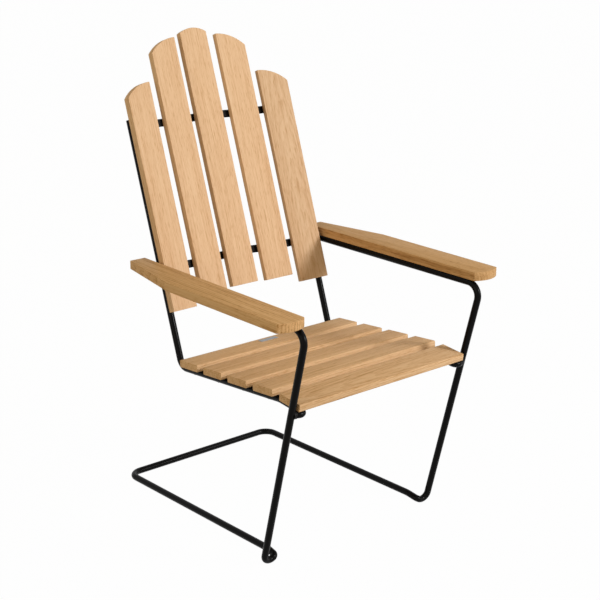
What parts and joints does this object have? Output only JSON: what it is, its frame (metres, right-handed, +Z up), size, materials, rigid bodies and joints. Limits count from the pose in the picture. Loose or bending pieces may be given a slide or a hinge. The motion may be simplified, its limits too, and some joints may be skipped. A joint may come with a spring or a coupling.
{
  "type": "lounge chair",
  "caption": "Garden lounge armchair: springy frame of bent black steel rod with wood seat slats, a fan-shaped bowed back of wood slats and tapered wood armrests.",
  "frame": {"origin": "on the floor, below the middle of the chair's overall box", "axes": "+Z up; the sitter faces -Y and has the left hand towards +X"},
  "size_m": [0.621, 0.7032, 1.0574],
  "materials": {
    "rod_paint": "semi-gloss black",
    "bar_paint": "satin black",
    "slat_wood": "oiled light hardwood, fine long grain",
    "arm_wood": "oiled light hardwood, fine long grain",
    "plate_metal": "dull, bare",
    "screw_zinc": "zinc plated",
    "screw_black": "blackened"
  },
  "bodies": {
    "root": {"base_frame": "rod_paint", "left_side_rod": "rod_paint", "right_side_rod": "rod_paint", "upper_back_bar": "bar_paint", "lower_back_bar": "bar_paint", "back_slat_1": "slat_wood", "back_slat_2": "slat_wood", "back_slat_3": "slat_wood", "back_slat_4": "slat_wood", "back_slat_5": "slat_wood", "seat_slat_1": "slat_wood", "seat_slat_2": "slat_wood", "seat_slat_3": "slat_wood", "seat_slat_4": "slat_wood", "seat_slat_5": "slat_wood", "left_armrest": "arm_wood", "right_armrest": "arm_wood", "left_arm_tabs": "bar_paint", "right_arm_tabs": "bar_paint", "label_plate": "plate_metal", "upper_bar_screws": "screw_zinc", "lower_bar_screws": "screw_zinc", "left_seat_screws": "screw_black", "right_seat_screws": "screw_black", "left_arm_screws": "screw_zinc", "right_arm_screws": "screw_zinc", "hook_welds": "rod_paint", "arm_welds": "rod_paint", "bar_welds": "rod_paint"}
  },
  "joints": []
}
